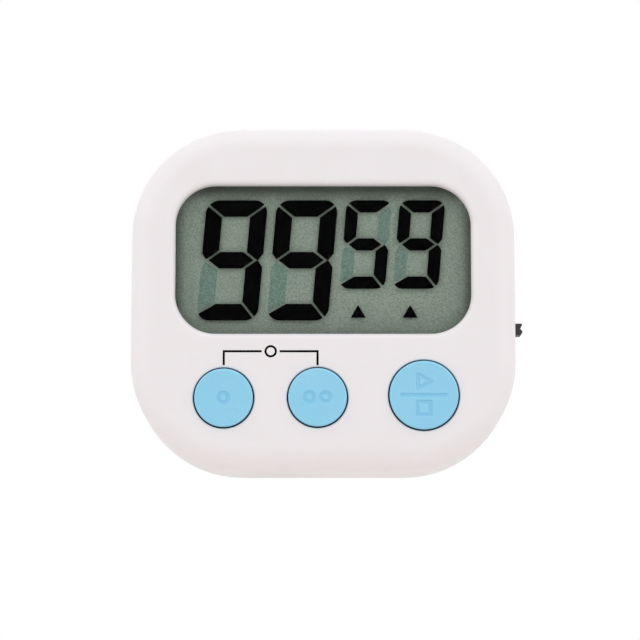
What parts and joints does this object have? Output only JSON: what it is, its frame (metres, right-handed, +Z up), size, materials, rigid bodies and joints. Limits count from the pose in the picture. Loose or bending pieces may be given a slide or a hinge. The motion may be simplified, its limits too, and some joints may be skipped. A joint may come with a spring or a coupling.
{
  "type": "lab timer",
  "caption": "Countdown timer: a slim rounded two-part case with a liquid crystal display, push buttons, a side slide switch, a fold-out stand, magnets and a battery door.",
  "frame": {"origin": "middle of the flat bottom edge that the case stands on, halfway through the case", "axes": "+X is right seen from the front, +Y runs from the display face to the back, +Z is up; the display faces -Y"},
  "size_m": [0.0733, 0.0209, 0.0647],
  "materials": {
    "case_plastic": "fine satin moulded white",
    "button_plastic": "satin sky blue",
    "knob_plastic": "satin charcoal",
    "clear_plastic": "clear gloss",
    "lcd_glass": "clear gloss",
    "polariser": "anti-glare film",
    "reflector": "grey-green speckled film",
    "foam": "open-cell foam",
    "zebra_rubber": "matt, fine dark stripes",
    "keypad_rubber": "matt silicone",
    "carbon": "matt",
    "board_laminate": "green solder mask",
    "epoxy": "gloss black",
    "component_black": "satin black",
    "steel": "nickel plated",
    "brass": "bright",
    "ceramic": "silvered ceramic",
    "cell_jacket": "printed metal jacket, plain",
    "ferrite": "sintered ferrite",
    "wire_red": "satin",
    "wire_black": "satin"
  },
  "bodies": {
    "case": {"front_cover": "case_plastic", "rear_cover": "case_plastic", "magnet_left": "ferrite", "magnet_right": "ferrite", "window_lens": "clear_plastic", "lcd_front_polariser": "polariser", "lcd_front_glass": "lcd_glass", "lcd_rear_glass": "lcd_glass", "lcd_reflector": "reflector", "lcd_foam_pad": "foam", "zebra_strip": "zebra_rubber", "keypad_sheet": "keypad_rubber", "circuit_board": "board_laminate", "chip_blob": "epoxy", "crystal_can": "steel", "capacitor": "component_black", "resistor_1": "component_black", "resistor_2": "component_black", "transistor": "component_black", "buzzer_coil": "component_black", "switch_shell": "steel", "switch_base": "epoxy", "switch_pin_1": "steel", "switch_pin_2": "steel", "switch_pin_3": "steel", "battery_cell": "cell_jacket", "battery_plus_cap": "steel", "contact_positive": "steel", "contact_negative": "steel", "contact_spring": "steel", "wire_battery_plus": "wire_red", "wire_battery_minus": "wire_black", "buzzer_plate": "brass", "buzzer_ceramic": "ceramic", "wire_buzzer_centre": "wire_red", "wire_buzzer_rim": "wire_black", "board_screw_1": "steel", "board_screw_2": "steel", "board_screw_3": "steel", "board_screw_4": "steel", "case_screw_1": "steel", "case_screw_2": "steel", "case_screw_3": "steel", "case_screw_4": "steel"},
    "minutes_key": {"button_minutes": "button_plastic", "keypad_boss_minutes": "keypad_rubber", "carbon_pill_minutes": "carbon"},
    "seconds_key": {"button_seconds": "button_plastic", "keypad_boss_seconds": "keypad_rubber", "carbon_pill_seconds": "carbon"},
    "start_stop_key": {"button_start_stop": "button_plastic", "keypad_boss_start_stop": "keypad_rubber", "carbon_pill_start_stop": "carbon"},
    "power_slider": {"switch_knob": "knob_plastic"},
    "stand_leg": {"stand": "case_plastic"},
    "door": {"battery_door": "case_plastic"}
  },
  "joints": [
    {"name": "minutes_press", "type": "slide", "parent": "case", "child": "minutes_key", "axis": [0, 1, 0], "range_m": [0, 0.0007], "stiffness_N_per_m": 400, "springref_m": -0.001},
    {"name": "seconds_press", "type": "slide", "parent": "case", "child": "seconds_key", "axis": [0, 1, 0], "range_m": [0, 0.0007], "stiffness_N_per_m": 400, "springref_m": -0.001},
    {"name": "start_stop_press", "type": "slide", "parent": "case", "child": "start_stop_key", "axis": [0, 1, 0], "range_m": [0, 0.0007], "stiffness_N_per_m": 400, "springref_m": -0.001},
    {"name": "power_slide", "type": "slide", "parent": "case", "child": "power_slider", "axis": [0, 0, 1], "range_m": [-0.002, 0]},
    {"name": "stand_hinge", "type": "hinge", "parent": "case", "child": "stand_leg", "pos_m": [0, 0.0085, 0.033], "axis": [1, 0, 0], "range_deg": [0, 40]},
    {"name": "battery_door_hinge", "type": "hinge", "parent": "case", "child": "door", "pos_m": [0, 0.01, 0.0536], "axis": [1, 0, 0], "range_deg": [0, 70]}
  ]
}
